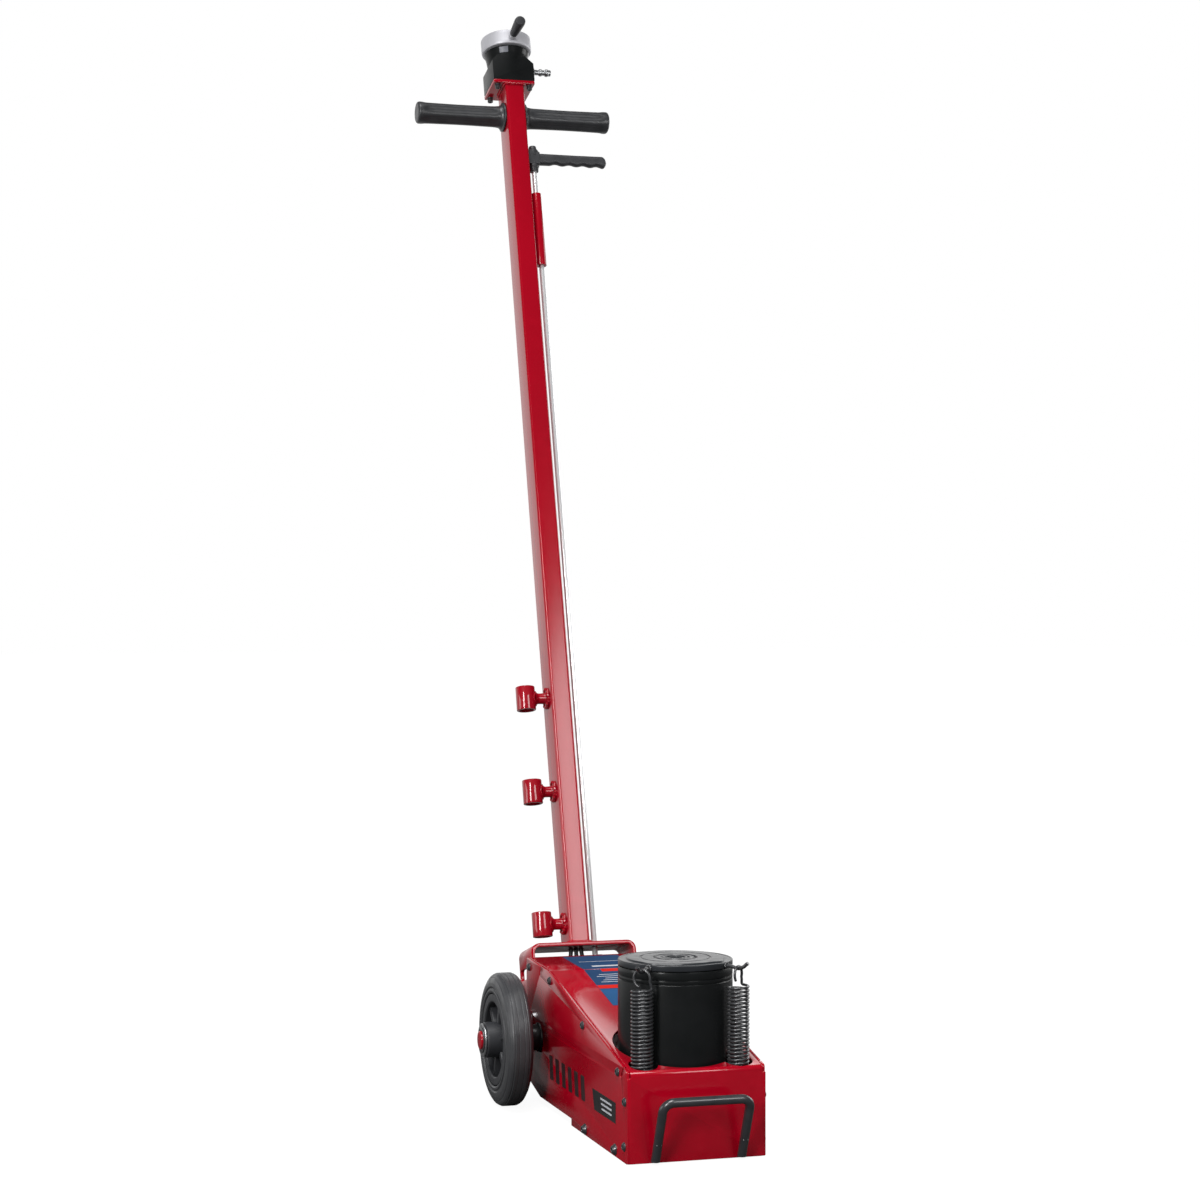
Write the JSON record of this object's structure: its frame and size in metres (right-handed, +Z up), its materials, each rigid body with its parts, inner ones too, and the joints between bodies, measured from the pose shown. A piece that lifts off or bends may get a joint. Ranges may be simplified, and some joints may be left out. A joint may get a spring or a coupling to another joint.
{
  "type": "air-hydraulic trolley jack",
  "caption": "Air-hydraulic trolley jack: low wedge chassis with an upright sprung ram, two wheels, and a long reclining mast with T-bar, lock lever and control head.",
  "frame": {"origin": "on the ground, under the ram's axis, in the middle of the base plate's underside", "axes": "+Z up, front of the chassis faces -Y, wheels and mast are behind at +Y, +X is the jack's left-to-right as seen from the front"},
  "size_m": [0.3498, 1.0113, 1.5905],
  "materials": {
    "red_paint": "glossy sprayed enamel",
    "black_paint": "satin black",
    "grey_paint": "dark grey with a satin sheen",
    "black_steel": "blackened spring steel, slightly oily",
    "zinc_steel": "zinc plated",
    "chrome_steel": "hard chrome, bright",
    "machined_aluminium": "turned, satin",
    "cast_iron": "as cast, oiled",
    "tyre_rubber": "matt grey-black",
    "soft_rubber": "moulded, satin",
    "black_plastic": "moulded, slightly grained",
    "seal_rubber": "smooth"
  },
  "bodies": {
    "chassis": {"base_plate": "red_paint", "side_plate_left": "red_paint", "side_plate_right": "red_paint", "top_cover": "red_paint", "rear_cross_member": "red_paint", "front_handle": "black_paint", "hydraulic_base": "cast_iron", "reservoir_tube": "black_paint", "pressure_cylinder": "cast_iron", "cylinder_head": "black_paint", "wiper_seal": "seal_rubber", "oil_filler_plug": "zinc_steel", "return_spring_left": "black_steel", "return_spring_right": "black_steel", "spring_anchor_left": "black_steel", "spring_anchor_right": "black_steel", "air_motor_cylinder": "machined_aluminium", "air_motor_cap": "machined_aluminium", "release_valve": "zinc_steel", "axle": "red_paint", "axle_washer_left": "zinc_steel", "axle_washer_right": "zinc_steel", "mast_pivot_shaft": "zinc_steel", "lock_quadrant": "zinc_steel", "hose_release_lower": "soft_rubber", "hose_supply_lower": "soft_rubber", "hose_return_lower": "soft_rubber"},
    "ram": {"ram_piston": "chrome_steel", "piston_seal": "seal_rubber", "saddle_lid": "grey_paint", "spring_hook_left": "black_steel", "spring_hook_right": "black_steel"},
    "pump_piston": {"air_piston": "machined_aluminium"},
    "release_plunger": {"release_pin": "zinc_steel"},
    "wheel_left": {"tyre_left": "tyre_rubber", "wheel_rim_left": "black_plastic", "wheel_bush_left": "zinc_steel"},
    "wheel_right": {"tyre_right": "tyre_rubber", "wheel_rim_right": "black_plastic", "wheel_bush_right": "zinc_steel"},
    "mast": {"mast_bracket": "red_paint", "mast_tube": "red_paint", "crossbar_tube": "red_paint", "grip_left": "soft_rubber", "grip_right": "soft_rubber", "head_plate": "red_paint", "valve_body": "black_paint", "air_inlet_plug": "zinc_steel", "rod_guide_tube": "red_paint", "lock_spring": "zinc_steel", "accessory_sleeve_lower": "red_paint", "accessory_sleeve_middle": "red_paint", "accessory_sleeve_upper": "red_paint", "hose_release_upper": "soft_rubber", "hose_supply_upper": "soft_rubber", "hose_return_upper": "soft_rubber"},
    "lock": {"lock_rod": "chrome_steel", "lock_lever": "black_plastic"},
    "control": {"control_ring": "machined_aluminium", "control_knob": "black_plastic"}
  },
  "joints": [
    {"name": "ram_lift", "type": "slide", "parent": "chassis", "child": "ram", "axis": [0, 0, 1], "range_m": [0, 0.125], "stiffness_N_per_m": 1500, "springref_m": -0.05, "deforming": ["return_spring_left", "return_spring_right"]},
    {"name": "pump_stroke", "type": "slide", "parent": "chassis", "child": "pump_piston", "axis": [0, -1, 0], "range_m": [0, 0.018], "stiffness_N_per_m": 600, "springref_m": -0.01},
    {"name": "release_pin_press", "type": "slide", "parent": "chassis", "child": "release_plunger", "axis": [0, 0, -1], "range_m": [0, 0.004], "stiffness_N_per_m": 400, "springref_m": -0.003},
    {"name": "wheel_left_spin", "type": "hinge", "parent": "chassis", "child": "wheel_left", "pos_m": [-0.1374, 0.319, 0.09], "axis": [1, 0, 0], "continuous": true},
    {"name": "wheel_right_spin", "type": "hinge", "parent": "chassis", "child": "wheel_right", "pos_m": [0.1374, 0.319, 0.09], "axis": [1, 0, 0], "continuous": true},
    {"name": "mast_tilt", "type": "hinge", "parent": "chassis", "child": "mast", "pos_m": [0, 0.365, 0.105], "axis": [1, 0, 0], "range_deg": [-35, 8]},
    {"name": "lock_lever_lift", "type": "slide", "parent": "mast", "child": "lock", "axis": [0, 0.2706, 0.9627], "range_m": [0, 0.018], "stiffness_N_per_m": 500, "springref_m": -0.02},
    {"name": "control_ring_turn", "type": "hinge", "parent": "mast", "child": "control", "pos_m": [0, 0.84178, 1.561], "axis": [0, 0.2706, 0.9627], "range_deg": [-40, 40], "stiffness_Nm_per_rad": 0.6}
  ]
}
